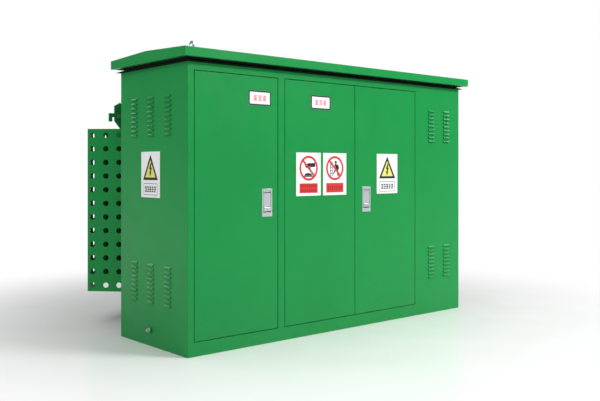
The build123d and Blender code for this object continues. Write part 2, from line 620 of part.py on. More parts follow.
# ----------------------------------------------------- fittings on the tank
with BuildPart() as hv_bushings:
    for bx in FUSE_X:
        with BuildSketch(Plane(origin=(bx, 60, 1010), x_dir=(1, 0, 0), z_dir=(0, 0, 1))) as prof:
            with BuildLine():
                Polyline((0, 0), (50, 0), (50, -8), (34, -14), (34, -40), (47, -46), (47, -50), (32, -56), (32, -80),
                         (45, -86), (45, -90), (30, -96), (30, -120), (42, -126), (42, -130), (26, -140),
                         (26, -168), (10, -168), (10, -200), (0, -200), close=True)
            make_face()
        revolve(axis=Axis((bx, 60, 1010), (0, 1, 0)))
save(hv_bushings.part, "hv_bushings")

POLES = (-115.0, -5.0, 105.0, 215.0)
with BuildPart() as lv_bushings:
    for bx in POLES:
        with BuildSketch(Plane(origin=(bx, 60, 1120), x_dir=(1, 0, 0), z_dir=(0, 0, 1))):
            with BuildLine():
                Polyline((0, 0), (42, 0), (42, -10), (30, -16), (30, -34), (38, -40), (38, -44), (28, -50),
                         (28, -90), (10, -96), (10, -160), (0, -160), close=True)
            make_face()
        revolve(axis=Axis((bx, 60, 1120), (0, 1, 0)))
save(lv_bushings.part, "lv_bushings")

with BuildPart() as lv_busbars:
    for bx in POLES:
        block(bx - 25, bx + 25, -75, -65, 900.4, 1150)
        bar_y(10.2, -90, -50, bx, 1120, mode=Mode.SUBTRACT)
save(lv_busbars.part, "lv_busbars")

BRK = (-175.0, 275.0, -200.0, 0.0, 480.0, 900.0)
TOG = (50.0, -184.0, 690.0)
with BuildPart() as breaker_body:
    block(*BRK)
    fillet(breaker_body.edges().filter_by(Axis.Z), radius=6)
    block(BRK[0] + 30, BRK[1] - 30, -208, -199, 560, 820)
    for z in (540, 840):
        block(BRK[0] - 40, BRK[1] + 40, 0.2, 60, z - 20, z + 20)
    for bx in POLES:
        block(bx - 18, bx + 18, -65, -35, 899, 935)
    block(TOG[0] - 14, TOG[0] + 14, -220, -160, TOG[2] - 48, TOG[2] + 48, mode=Mode.SUBTRACT)
    bar_x(4.05, TOG[0] - 22, TOG[0] + 22, TOG[1], TOG[2], mode=Mode.SUBTRACT)
save(breaker_body.part, "breaker_body")
with BuildPart() as breaker_toggle:
    bar_x(13, TOG[0] - 12, TOG[0] + 12, TOG[1], TOG[2])
    bar_x(4, TOG[0] - 20, TOG[0] + 20, TOG[1], TOG[2])
    block(TOG[0] - 10, TOG[0] + 10, -250, TOG[1], TOG[2] - 8, TOG[2] + 8)
    fillet(breaker_toggle.faces().sort_by(Axis.Y)[0].edges(), radius=3)
save(breaker_toggle.part, "breaker_toggle")

with BuildPart() as load_switch_handle:
    bar_y(8, 20, 70, *SWITCH)
    bar_y(22, 18, 46, *SWITCH)
    block(SWITCH[0] - 12, SWITCH[0] + 12, 4, 18.5, SWITCH[1] - 90, SWITCH[1] + 90)
    fillet(load_switch_handle.edges().filter_by(Axis.Y).filter_by(lambda e: abs(abs(e.center().Z - SWITCH[1]) - 90) < 1), radius=9)
save(load_switch_handle.part, "load_switch_handle")
with BuildPart() as tap_changer_knob:
    bar_y(8, 20, 70, *TAP)
    bar_y(30, 20, 46, *TAP)
    block(TAP[0] - 8, TAP[0] + 8, 4, 21, TAP[1] - 28, TAP[1] + 28)
save(tap_changer_knob.part, "tap_changer_knob")

for letter, fx in zip("abc", FUSE_X):
    with BuildPart() as fuse:
        bar_y(18, 30, 362, fx, FUSE_Z)
        bar_y(26, 22, 49, fx, FUSE_Z)
        bar_y(10, -2, 23, fx, FUSE_Z)
        with BuildSketch(Plane(origin=(fx - 6, -20, FUSE_Z), x_dir=(0, 1, 0), z_dir=(1, 0, 0))):
            Circle(24)
            Circle(14, mode=Mode.SUBTRACT)
        extrude(amount=12)
    save(fuse.part, "fuse_holder_" + letter)

GAUGES = ((-880.0, 1345.0), (-760.0, 1345.0))
with BuildPart() as tank_gauges:
    for gx, gz in GAUGES:
        bar_y(14, 40, 60, gx, gz)
        bar_y(46, 12, 41, gx, gz)
        bar_y(40, 5, 15, gx, gz, mode=Mode.SUBTRACT)
save(tank_gauges.part, "tank_gauges")

DRAIN = (-900.0, 10.0, 190.0)
with BuildPart() as tank_valves:
    bar_y(14, -40, 60, DRAIN[0], DRAIN[2])
    bar_y(24, 50, 60, DRAIN[0], DRAIN[2])
    with Locations(DRAIN):
        Sphere(24)
    bar_z(12, DRAIN[2], DRAIN[2] + 34, DRAIN[0], DRAIN[1])
    bar_y(20, -58, -34, DRAIN[0], DRAIN[2])
    bar_z(5.05, DRAIN[2] + 24, DRAIN[2] + 40, DRAIN[0], DRAIN[1], mode=Mode.SUBTRACT)
    bar_y(16, 20, 60, -620, 1345)
    bar_y(24, -10, 24, -620, 1345)
    bar_y(8, -24, -9, -620, 1345)
save(tank_valves.part, "tank_valves")
with BuildPart() as drain_valve_handle:
    bar_z(5, DRAIN[2] + 26, DRAIN[2] + 44, DRAIN[0], DRAIN[1])
    bar_z(13, DRAIN[2] + 34.4, DRAIN[2] + 42, DRAIN[0], DRAIN[1])
    block(DRAIN[0], DRAIN[0] + 130, DRAIN[1] - 10, DRAIN[1] + 10, DRAIN[2] + 35, DRAIN[2] + 41)
save(drain_valve_handle.part, "drain_valve_handle")
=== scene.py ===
import bpy
import bmesh
import json
import math
import random
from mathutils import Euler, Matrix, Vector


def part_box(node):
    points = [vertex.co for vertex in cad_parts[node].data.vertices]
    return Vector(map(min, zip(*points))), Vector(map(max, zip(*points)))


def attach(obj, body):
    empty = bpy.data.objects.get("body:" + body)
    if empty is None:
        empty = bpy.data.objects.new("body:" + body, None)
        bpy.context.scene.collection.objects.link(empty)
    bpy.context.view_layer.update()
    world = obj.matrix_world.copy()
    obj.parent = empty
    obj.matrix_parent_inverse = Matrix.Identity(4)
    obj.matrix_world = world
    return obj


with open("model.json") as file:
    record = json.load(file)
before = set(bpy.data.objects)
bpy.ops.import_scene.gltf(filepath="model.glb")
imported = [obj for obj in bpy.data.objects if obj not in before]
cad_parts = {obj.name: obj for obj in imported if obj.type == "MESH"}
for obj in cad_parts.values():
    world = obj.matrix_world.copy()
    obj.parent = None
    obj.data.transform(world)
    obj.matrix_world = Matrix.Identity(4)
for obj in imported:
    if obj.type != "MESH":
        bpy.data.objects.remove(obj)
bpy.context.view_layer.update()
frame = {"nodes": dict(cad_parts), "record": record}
NODES = frame["nodes"]
rnd = random.Random(41)
WORLD = 0.20
ZENITH = 1.10

# ------------------------------------------------------------------ camera
scene = bpy.context.scene
cam_data = bpy.data.cameras.new("view_camera")
cam_data.sensor_width = 36.0
cam_data.lens = 46.78
cam_data.shift_x = 0.0367
cam_data.shift_y = -0.0536
cam_data.clip_end = 300.0
cam = bpy.data.objects.new("view_camera", cam_data)
cam.location = (-3.5332, -4.1781, 1.0219)
cam.rotation_euler = Euler((math.radians(90), 0, -0.7036))
scene.collection.objects.link(cam)
scene.camera = cam
scene.view_settings.view_transform = "Standard"
scene.view_settings.look = "None"
scene.view_settings.exposure = 0.0
scene.view_settings.gamma = 1.0


# --------------------------------------------------------------- materials
class Nodes:
    """Small helper around one material's node tree."""

    def __init__(self, name):
        self.mat = bpy.data.materials.new(name)
        self.mat.use_nodes = True
        self.nt = self.mat.node_tree
        self.nt.nodes.clear()
        self.out = self.new("ShaderNodeOutputMaterial")
        self.bsdf = self.new("ShaderNodeBsdfPrincipled")
        self.link(self.bsdf.outputs[0], self.out.inputs[0])
        self.coord = self.new("ShaderNodeTexCoord").outputs["Object"]

    def new(self, kind, **props):
        n = self.nt.nodes.new(kind)
        for k, v in props.items():
            setattr(n, k, v)
        return n

    def link(self, a, b):
        self.nt.links.new(a, b)

    def stretched(self, sx, sy, sz):
        m = self.new("ShaderNodeMapping")
        m.inputs["Scale"].default_value = (sx, sy, sz)
        self.link(self.coord, m.inputs["Vector"])
        return m.outputs["Vector"]

    def noise(self, scale, detail=3.0, rough=0.5, vector=None, distortion=0.0):
        n = self.new("ShaderNodeTexNoise")
        self.link(vector or self.coord, n.inputs["Vector"])
        n.inputs["Scale"].default_value = scale
        n.inputs["Detail"].default_value = detail
        n.inputs["Roughness"].default_value = rough
        n.inputs["Distortion"].default_value = distortion
        return n.outputs[0]

    def ramp(self, fac, a, b, lo=0.0, hi=1.0):
        n = self.new("ShaderNodeMapRange")
        n.inputs["From Min"].default_value = a
        n.inputs["From Max"].default_value = b
        n.inputs["To Min"].default_value = lo
        n.inputs["To Max"].default_value = hi
        self.link(fac, n.inputs["Value"])
        return n.outputs[0]

    def math(self, op, a, b=None):
        n = self.new("ShaderNodeMath", operation=op)
        for i, v in enumerate((a, b)):
            if v is None:
                continue
            if isinstance(v, (int, float)):
                n.inputs[i].default_value = v
            else:
                self.link(v, n.inputs[i])
        return n.outputs[0]

    def mix(self, fac, a, b, blend="MIX"):
        n = self.new("ShaderNodeMix", data_type="RGBA", blend_type=blend)
        if isinstance(fac, (int, float)):
            n.inputs[0].default_value = fac
        else:
            self.link(fac, n.inputs[0])
        for i, v in ((6, a), (7, b)):
            if isinstance(v, (tuple, list)):
                n.inputs[i].default_value = (*v[:3], 1.0)
            else:
                self.link(v, n.inputs[i])
        return n.outputs[2]

    def bump(self, height, strength, distance, normal=None):
        n = self.new("ShaderNodeBump")
        n.inputs["Strength"].default_value = strength
        n.inputs["Distance"].default_value = distance
        self.link(height, n.inputs["Height"])
        if normal is not None:
            self.link(normal, n.inputs["Normal"])
        return n.outputs[0]

    def axis(self, name):
        s = self.new("ShaderNodeSeparateXYZ")
        self.link(self.coord, s.inputs[0])
        return s.outputs[name]

    def set(self, **values):
        for k, v in values.items():
            key = k.replace("_", " ")
            names = {i.name.lower(): i for i in self.bsdf.inputs}
            sock = names[key.lower()]
            if isinstance(v, (int, float)):
                sock.default_value = v
            elif isinstance(v, (tuple, list)):
                sock.default_value = (*v[:3], 1.0) if len(sock.default_value) == 4 else v
            else:
                self.link(v, sock)
        return self


def shade(c, k):
    return tuple(min(1.0, x * k) for x in c)


def edge_mask(m, radius, lo=0.02, hi=0.25):
    """1 on edges, 0 on flats: how far the rounded normal leans from the face."""
    bev = m.new("ShaderNodeBevel", samples=6)
    bev.inputs["Radius"].default_value = radius
    geo = m.new("ShaderNodeNewGeometry")
    dot = m.new("ShaderNodeVectorMath", operation="DOT_PRODUCT")
    m.link(bev.outputs[0], dot.inputs[0])
    m.link(geo.outputs["Normal"], dot.inputs[1])
    return m.ramp(m.math("SUBTRACT", 1.0, dot.outputs["Value"]), lo, hi), bev.outputs[0]


def paint(name, base, rough=0.40, spec=0.25, waves=1.0, dust=0.12, wear=0.5, coat=0.0):
    """Powder coat on sheet: orange peel, slightly wavy sheet, handled edges,
    settled dust near the ground and faint rain streaks."""
    m = Nodes(name)
    broad = m.noise(1.3, 3, 0.55)
    cloud = m.noise(6.5, 4, 0.6)
    grain = m.noise(420, 2, 0.5)
    col = m.mix(m.ramp(broad, 0.35, 0.68), shade(base, 0.955), shade(base, 1.05))
    col = m.mix(m.ramp(cloud, 0.30, 0.75, 0.0, 0.10), col, shade(base, 0.90))
    col = m.mix(m.ramp(grain, 0.35, 0.70, 0.0, 0.06), col, shade(base, 1.35))
    # rain streaks run down, dust sits low
    streak = m.noise(1.0, 4, 0.6, m.stretched(26, 26, 1.1))
    height = m.axis("Z")
    dusty = m.math("MULTIPLY", m.ramp(height, 0.28, 0.0), m.ramp(m.noise(14, 5, 0.65), 0.35, 0.7))
    greyed = tuple(0.55 * x + 0.45 * y for x, y in zip(base, (0.26, 0.25, 0.21)))
    col = m.mix(m.math("MULTIPLY", dusty, dust * 2.2), col, greyed)
    col = m.mix(m.ramp(streak, 0.60, 0.80, 0.0, dust * 0.35), col, greyed)
    mask, soft = edge_mask(m, 0.0022)
    worn = m.math("MULTIPLY", mask, m.ramp(m.noise(38, 5, 0.7), 0.42, 0.66))
    col = m.mix(m.math("MULTIPLY", worn, wear * 0.35), col, shade(base, 1.7))
    rgh = m.math("ADD", m.ramp(m.noise(9, 4, 0.6), 0.3, 0.7, rough - 0.05, rough + 0.06),
                 m.math("MULTIPLY", dusty, 0.18))
    n1 = m.bump(m.noise(2.6, 2, 0.4), 0.30 * waves, 0.0035, soft)
    n2 = m.bump(m.noise(340, 2, 0.5), 0.10, 0.0004, n1)
    n3 = m.bump(grain, 0.05, 0.0003, n2)
    m.set(Base_Color=col, Roughness=rgh, Specular_IOR_Level=spec, Coat_Weight=coat, Coat_Roughness=0.25, Normal=n3)
    return m.mat


def metal(name, base, rough=0.3, brush=(2, 2, 260), tint=None, stain=0.25, metallic=1.0, spangle=0.0):
    """Worked metal: fine directional brushing, stains in random blots."""
    m = Nodes(name)
    line = m.noise(1.0, 5, 0.65, m.stretched(*brush))
    blot = m.noise(17, 5, 0.6)
    tint = tint or shade(base, 0.55)
    col = m.mix(m.ramp(blot, 0.42, 0.78, 0.0, stain), base, tint)
    col = m.mix(m.ramp(line, 0.35, 0.7, 0.0, 0.18), col, shade(base, 1.25))
    rgh = m.ramp(line, 0.25, 0.75, rough - 0.06, rough + 0.10)
    if spangle:
        v = m.new("ShaderNodeTexVoronoi")
        m.link(m.coord, v.inputs["Vector"])
        v.inputs["Scale"].default_value = 55
        tone = m.new("ShaderNodeSeparateColor")
        m.link(v.outputs["Color"], tone.inputs[0])
        col = m.mix(m.math("MULTIPLY", tone.outputs[0], spangle), col, shade(base, 0.62))
        rgh = m.math("ADD", rgh, m.math("MULTIPLY", tone.outputs[1], 0.15))
    mask, soft = edge_mask(m, 0.0010)
    # every edge mixed towards a lighter tone: painted edge highlight
    col = m.mix(m.math("MULTIPLY", mask, 0.35), col, shade(base, 1.35))
    n = m.bump(line, 0.10, 0.0003, soft)
    n = m.bump(m.noise(60, 4, 0.6), 0.08, 0.0006, n)
    m.set(Base_Color=col, Roughness=rgh, Metallic=metallic, Normal=n)
    return m.mat


def plastic(name, base, rough=0.35, spec=0.5, coat=0.0, grain=700, depth=0.12, vary=0.10, dirt=0.15):
    """Moulded or printed plastic: fine mould texture, tone drift, grime."""
    m = Nodes(name)
    tone = m.noise(11, 4, 0.6)
    col = m.mix(m.ramp(tone, 0.3, 0.7), shade(base, 1 - vary), shade(base, 1 + vary))
    grime = m.noise(45, 6, 0.7)
    mask, soft = edge_mask(m, 0.0012)
    col = m.mix(m.ramp(grime, 0.55, 0.85, 0.0, dirt), col, shade(base, 0.55))
    # every edge mixed towards a lighter tone: painted edge highlight
    col = m.mix(m.math("MULTIPLY", mask, 0.18), col, shade(base, 1.6))
    rgh = m.ramp(m.noise(30, 4, 0.6), 0.3, 0.7, rough - 0.05, rough + 0.07)
    n = m.bump(m.noise(grain, 2, 0.5), depth, 0.0002, soft)
    n = m.bump(m.noise(22, 3, 0.5), 0.05, 0.001, n)
    m.set(Base_Color=col, Roughness=rgh, Specular_IOR_Level=spec, Coat_Weight=coat, Coat_Roughness=0.08, Normal=n)
    return m.mat


def banded(name, base, other, scale, axis="Z", rough=0.5, metallic=0.0, depth=0.5, coat=0.0):
    """Wound or laminated stock: even fine bands across one axis."""
    m = Nodes(name)
    w = m.new("ShaderNodeTexWave", wave_type="BANDS", bands_direction=axis, wave_profile="SIN")
    m.link(m.coord, w.inputs["Vector"])
    w.inputs["Scale"].default_value = scale
    w.inputs["Distortion"].default_value = 0.6
    w.inputs["Detail"].default_value = 2
    w.inputs["Detail Scale"].default_value = 3
    fac = w.outputs[1]
    col = m.mix(fac, other, base)
    col = m.mix(m.ramp(m.noise(13, 5, 0.65), 0.4, 0.8, 0.0, 0.35), col, shade(other, 0.7))
    rgh = m.ramp(m.noise(40, 4, 0.6), 0.3, 0.7, rough - 0.08, rough + 0.10)
    n = m.bump(fac, depth, 0.0012)
    n = m.bump(m.noise(300, 3, 0.5), 0.10, 0.0003, n)
    m.set(Base_Color=col, Roughness=rgh, Metallic=metallic, Coat_Weight=coat, Coat_Roughness=0.2, Normal=n)
    return m.mat


def rubber(name, base):
    m = Nodes(name)
    col = m.mix(m.ramp(m.noise(28, 5, 0.65), 0.35, 0.75), base, shade(base, 2.2))
    v = m.new("ShaderNodeTexVoronoi")
    m.link(m.coord, v.inputs["Vector"])
    v.inputs["Scale"].default_value = 900
    n = m.bump(v.outputs["Distance"], 0.35, 0.0003)
    m.set(Base_Color=col, Roughness=m.ramp(m.noise(80, 3, 0.5), 0.3, 0.7, 0.68, 0.86), Specular_IOR_Level=0.3, Normal=n)
    return m.mat


def porcelain(name, base):
    m = Nodes(name)
    col = m.mix(m.ramp(m.noise(9, 4, 0.55), 0.35, 0.7), base, shade(base, 0.90))
    col = m.mix(m.ramp(m.noise(160, 4, 0.7), 0.66, 0.80, 0.0, 0.35), col, (0.30, 0.25, 0.20))
    n = m.bump(m.noise(26, 2, 0.4), 0.12, 0.0012)
    m.set(Base_Color=col, Roughness=m.ramp(m.noise(35, 3, 0.5), 0.3, 0.7, 0.12, 0.22), Specular_IOR_Level=0.55,
          Coat_Weight=0.6, Coat_Roughness=0.05, Normal=n)
    return m.mat


GREEN = (0.002, 0.250, 0.050)
MATS = {
    "cabinet_green": paint("cabinet_green_coat", GREEN, rough=0.37, spec=0.27, waves=1.0, dust=0.05, wear=0.5),
    "tank_green": paint("tank_green_paint", (0.010, 0.185, 0.048), rough=0.47, spec=0.28, waves=0.6, dust=0.16, wear=0.8),
    # near-black paint for the neck; the eave strip below also gets it, as painted shade under the fascia
    "neck_dark": paint("neck_dark_and_eave_shade", (0.012, 0.020, 0.014), rough=0.62, spec=0.2, waves=0.5, dust=0.10, wear=0.3),
    "lock_chrome": metal("lock_satin_chrome", (0.62, 0.68, 0.70), rough=0.30, brush=(240, 3, 3), stain=0.10, metallic=0.85),
    "zinc_steel": metal("zinc_plate", (0.60, 0.61, 0.60), rough=0.34, brush=(60, 60, 60), tint=(0.42, 0.40, 0.33), stain=0.35),
    "sign_white": plastic("sign_white_plate", (0.80, 0.82, 0.815), rough=0.38, spec=0.35, grain=500, depth=0.05, vary=0.02, dirt=0.04),
    "seal_rubber": rubber("seal_epdm", (0.013, 0.013, 0.014)),
    "core_steel": banded("core_laminations", (0.33, 0.34, 0.36), (0.16, 0.17, 0.19), 150, "Y", 0.42, 0.85, 0.45),
    "winding_copper": banded("winding_copper_wire", (0.60, 0.25, 0.10), (0.26, 0.09, 0.035), 70, "Z", 0.33, 0.75, 0.8, 0.4),
    "winding_paper": banded("winding_paper_wrap", (0.52, 0.37, 0.20), (0.34, 0.23, 0.12), 26, "Z", 0.66, 0.0, 0.6),
    "bushing_epoxy": plastic("bushing_epoxy_cast", (0.23, 0.036, 0.018), rough=0.20, spec=0.5, coat=0.5, grain=160, depth=0.04, vary=0.12, dirt=0.25),
    "bushing_porcelain": porcelain("bushing_glaze", (0.76, 0.74, 0.69)),
    "busbar_copper": metal("busbar_copper", (0.80, 0.42, 0.25), rough=0.30, brush=(4, 220, 4), tint=(0.30, 0.13, 0.07), stain=0.55),
    "gauge_black": plastic("gauge_black_case", (0.014, 0.014, 0.016), rough=0.32, spec=0.45, grain=500, depth=0.10, vary=0.2, dirt=0.1),
    "valve_brass": metal("valve_cast_brass", (0.70, 0.50, 0.20), rough=0.34, brush=(70, 70, 70), tint=(0.28, 0.20, 0.09), stain=0.5),
    "breaker_plastic": plastic("breaker_moulding", (0.085, 0.090, 0.096), rough=0.48, spec=0.4, grain=380, depth=0.22, vary=0.10, dirt=0.15),
    "handle_red": plastic("red_moulding", (0.56, 0.022, 0.016), rough=0.32, spec=0.45, grain=420, depth=0.10, vary=0.08, dirt=0.12),
    "handle_yellow": paint("yellow_enamel", (0.78, 0.50, 0.015), rough=0.35, spec=0.4, waves=0.3, dust=0.08, wear=0.9),
    "floor_galv": metal("galvanised_sheet", (0.56, 0.58, 0.59), rough=0.42, brush=(30, 30, 30), tint=(0.40, 0.41, 0.41), stain=0.35, spangle=0.55),
    "fuse_black": plastic("fuse_holder_moulding", (0.030, 0.030, 0.034), rough=0.28, spec=0.5, grain=380, depth=0.10, vary=0.15, dirt=0.15),
}
PRINT = {
    "red": plastic("print_red", (0.62, 0.034, 0.033), rough=0.42, spec=0.3, grain=500, depth=0.03, vary=0.04, dirt=0.05),
    "dark_red": plastic("print_dark_red", (0.36, 0.010, 0.012), rough=0.42, spec=0.3, grain=500, depth=0.03, vary=0.05, dirt=0.05),
    "yellow": plastic("print_yellow", (0.71, 0.69, 0.165), rough=0.42, spec=0.3, grain=500, depth=0.03, vary=0.03, dirt=0.05),
    "black": plastic("print_black", (0.012, 0.012, 0.012), rough=0.45, spec=0.3, grain=500, depth=0.03, vary=0.1, dirt=0.0),
    "grey": plastic("print_grey", (0.055, 0.05, 0.05), rough=0.45, spec=0.3, grain=500, depth=0.03, vary=0.08, dirt=0.0),
    "pink": plastic("print_pink", (0.72, 0.22, 0.27), rough=0.45, spec=0.3, grain=500, depth=0.03, vary=0.05, dirt=0.0),
    "white": MATS["sign_white"],
}

slot_of_node = {s["node"]: s["material_slot"] for s in frame["record"]["subparts"]}
# the eave strip is green sheet but takes the near-black neck paint: painted shade under the fascia
slot_of_node["eave_strip"] = "neck_dark"
for name, obj in NODES.items():
    obj.data.materials.clear()
    obj.data.materials.append(MATS[slot_of_node[name]])
pins = NODES["door_pivot_pins"].data.materials
pins.clear()
pins.append(metal("pivot_pin_oiled", (0.10, 0.10, 0.095), rough=0.45, brush=(60, 60, 60), stain=0.4))


# ------------------------------------------------- softened sheet-metal edges
def soften(node, width, angle=40.0, segments=2):
    o = NODES[node]
    for p in o.data.polygons:
        p.use_smooth = True
    a = o.data.attributes.get("custom_normal")
    if a is not None:
        o.data.attributes.remove(a)
    w = o.modifiers.new("join_faces", "WELD")
    w.merge_threshold = 2e-6
    d = o.modifiers.new("clean_flats", "DECIMATE")
    d.decimate_type = "DISSOLVE"
    d.angle_limit = math.radians(0.4)
    b = o.modifiers.new("edge_round", "BEVEL")
    b.width = width
    b.segments = segments
    b.limit_method = "ANGLE"
    b.angle_limit = math.radians(angle)
    b.use_clamp_overlap = True
    b.harden_normals = False
    t = o.modifiers.new("tris", "TRIANGULATE")
    t.keep_custom_normals = False
    n = o.modifiers.new("flat_shading", "WEIGHTED_NORMAL")
    n.keep_sharp = True
    n.weight = 60


SOFT = {"hv_door": 0.0009, "lv_left_door": 0.0009, "lv_right_door": 0.0009, "roof_cover": 0.0006,
        "hv_lock_plate": 0.0006, "lv_lock_plate": 0.0006, "hv_lock_lever": 0.0010, "lv_lock_lever": 0.0010,
        "hv_lock_button": 0.0010, "lv_lock_button": 0.0010, "cabinet_front_frame": 0.0007}
for node, width in SOFT.items():
    soften(node, width)


# ---------------------------------------------------------------- mesh tools
def finish_mesh(bm, name, mat, body, smooth=None):
    bmesh.ops.recalc_face_normals(bm, faces=bm.faces)
    me = bpy.data.meshes.new(name)
    bm.to_mesh(me)
    bm.free()
    me.materials.append(mat)
    if smooth is not None:
        me.shade_smooth()
        me.set_sharp_from_angle(angle=math.radians(smooth))
    o = bpy.data.objects.new(name, me)
    scene.collection.objects.link(o)
    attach(o, body)
    return o


class Sheet:
    """A flat drawing surface: origin, across, up and outward directions."""

    def __init__(self, origin, across, up, out):
        self.o, self.u, self.v, self.n = Vector(origin), Vector(across), Vector(up), Vector(out)

    def at(self, u, v, h):
        return self.o + self.u * u + self.v * v + self.n * h


def slab(bm, s, pts, h0, h1):
    lo = [bm.verts.new(s.at(u, v, h0)) for u, v in pts]
    hi = [bm.verts.new(s.at(u, v, h1)) for u, v in pts]
    bm.faces.new(hi)
    bm.faces.new(lo[::-1])
    for i in range(len(pts)):
        j = (i + 1) % len(pts)
        bm.faces.new((lo[i], lo[j], hi[j], hi[i]))


def hoop(bm, s, outer, inner, h0, h1):
    rows = [[bm.verts.new(s.at(u, v, h)) for u, v in loop]
            for loop, h in ((outer, h0), (outer, h1), (inner, h1), (inner, h0))]
    for a, b in zip(rows, rows[1:] + rows[:1]):
        for i in range(len(a)):
            j = (i + 1) % len(a)
            bm.faces.new((a[i], a[j], b[j], b[i]))


def circle(cx, cz, r, n=64, start=0.0, end=360.0):
    full = abs(end - start) >= 360
    return [(cx + r * math.cos(math.radians(start + (end - start) * i / (n if full else n - 1))),
             cz + r * math.sin(math.radians(start + (end - start) * i / (n if full else n - 1)))) for i in range(n)]


def rect(x0, x1, z0, z1):
    return [(x0, z0), (x1, z0), (x1, z1), (x0, z1)]


def round_rect(x0, x1, z0, z1, r, n=6):
    pts = []
    for cx, cz, a in ((x1 - r, z0 + r, -90), (x1 - r, z1 - r, 0), (x0 + r, z1 - r, 90), (x0 + r, z0 + r, 180)):
        pts += [(cx + r * math.cos(math.radians(a + 90 * i / n)), cz + r * math.sin(math.radians(a + 90 * i / n)))
                for i in range(n + 1)]
    return pts


def scaled(pts, dx=0.0, dz=0.0, k=0.001):
    return [((x + dx) * k, (z + dz) * k) for x, z in pts]


def printed(name, s, body, colour, shapes, level):
    """One ink layer: shapes is a list of ("fill", pts) or ("hoop", outer, inner), in mm."""
    bm = bmesh.new()
    h0, h1 = -0.00003, 0.00012 + 0.00010 * level
    for sh in shapes:
        if sh[0] == "fill":
            slab(bm, s, scaled(sh[1]), h0, h1)
        else:
            hoop(bm, s, scaled(sh[1]), scaled(sh[2]), h0, h1)
    return finish_mesh(bm, name, PRINT[colour], body)


def marks(x0, x1, z0, z1, count, gap=0.22, rows=3):
    """Blank placeholder marks: small stacks of plain strokes, no letters."""
    out = []
    pitch = (x1 - x0) / count
    for i in range(count):
        a, b = x0 + pitch * (i + gap / 2), x0 + pitch * (i + 1 - gap / 2)
        step = (z1 - z0) / rows
        for r in range(rows):
            inset = (0.0, 0.16, 0.06, 0.22, 0.1)[(i * 2 + r) % 5] * (b - a)
            out.append(("fill", rect(a + inset * (r % 2), b - inset * ((r + 1) % 2), z0 + step * (r + 0.14), z0 + step * (r + 0.86))))
        if i % 2 == 0:
            mid = (a + b) / 2
            for r in range(rows - 1):
                out.append(("fill", rect(mid - (b - a) * 0.08, mid + (b - a) * 0.08, z0 + step * (r + 0.86), z0 + step * (r + 1.14))))
    return out


# --------------------------------------------------------------- sign plates
FRONT = dict(across=(1, 0, 0), up=(0, 0, 1), out=(0, -1, 0))
LEFT = dict(across=(0, -1, 0), up=(0, 0, 1), out=(-1, 0, 0))


def danger_sign(tag, s, body):
    """Centre of the top edge is the origin; the plate is 204 x 264 mm."""
    top, base = -24.0, -160.0
    def tri(k):
        cz = base + (top - base) / 3
        return [((x) * k, cz + (z - cz) * k) for x, z in ((-75, base), (75, base), (0, top))]
    def soft_tri(k, r):
        p = tri(k)
        out = []
        for i in range(3):
            a, b, c = Vector(p[i - 1]), Vector(p[i]), Vector(p[(i + 1) % 3])
            p0, p1 = b + (a - b).normalized() * r, b + (c - b).normalized() * r
            for t in (0, 0.25, 0.5, 0.75, 1):
                q = p0 * (1 - t) ** 2 + b * 2 * t * (1 - t) + p1 * t ** 2
                out.append((q.x, q.y))
        return out
    printed(tag + "_border", s, body, "black", [("hoop", soft_tri(1.08, 7), soft_tri(0.75, 3.5))], 1)
    printed(tag + "_field", s, body, "yellow", [("fill", soft_tri(0.80, 3.5))], 0)
    bolt = [(2, -66), (14, -66), (5, -92), (17, -92), (5, -119), (11, -117), (-4, -145), (-13, -114), (-6, -117),
            (-2, -100), (-14, -100)]
    printed(tag + "_bolt", s, body, "black", [("fill", bolt)], 1)
    printed(tag + "_frame", s, body, "grey",
            [("hoop", rect(-75, 75, -250, -183), rect(-72, 72, -247, -186))] + marks(-62, 62, -235, -198, 5, 0.2), 0)


def no_sign(tag, s, body, picture, rows):
    c = -95.0
    printed(tag + "_picture", s, body, "black", [("fill", [(x, z + c) for x, z in p]) for p in picture], 0)
    a = math.radians(45)
    d = Vector((math.cos(a), -math.sin(a)))
    nrm = Vector((d.y, -d.x)) * 6.5
    q = [d * -64 + nrm, d * 64 + nrm, d * 64 - nrm, d * -64 - nrm]
    printed(tag + "_slash", s, body, "red", [("fill", [(p.x, p.y + c) for p in q])], 1)
    printed(tag + "_ring", s, body, "red", [("hoop", circle(0, c, 76, 96), circle(0, c, 62, 96))], 2)
    printed(tag + "_panel", s, body, "red", [("fill", round_rect(-75, 75, -247, -188, 2))], 0)
    shapes = []
    if rows == 2:
        shapes += marks(-66, 66, -213, -196, 8) + marks(-66, 66, -240, -223, 8)
    else:
        shapes += marks(-67, 67, -231, -205, 7)
    printed(tag + "_marks", s, body, "dark_red", shapes, 1)


HAND = [
    [(14, 6), (54, 8), (54, 33), (12, 30)],
    [(-12, 12), (13, 6), (13, 30), (-4, 31), (-14, 24)],
    [(-34, 17), (-13, 17), (-13, 24), (-33, 23)],
    [(-30, 8), (-12, 9), (-12, 15), (-30, 14)],
    [(-24, 1), (0, 2), (2, 8), (-24, 7)],
    [(6, -8), (14, -8), (17, 5), (6, 6)],
    circle(-3, -46, 33, 20, 0, 180),
    rect(-42, 36, -53, -47),
]
HAND[6] = [(x, -46 + (z + 46) * 0.5) for x, z in HAND[6]]
CLIMBER = [
    rect(-40, -35, -50, 38), rect(-35, -20, 20, 24), rect(-35, -20, 2, 6), rect(-35, -20, -16, -12), rect(-35, -20, -34, -30),
    rect(-24, -20, -50, 38),
    circle(8, 37, 9.5, 20),
    [(-4, 22), (8, 27), (26, 20), (30, -6), (10, -8), (4, 8)],
    [(2, 12), (-18, 22), (-20, 16), (-1, 4)],
    [(20, 24), (34, 12), (38, -4), (32, -6), (26, 8)],
    [(10, -6), (30, -4), (28, -28), (34, -50), (24, -50), (17, -28)],
    [(12, -6), (20, -12), (0, -22), (-8, -40), (-15, -37), (-8, -16), (4, -6)],
]

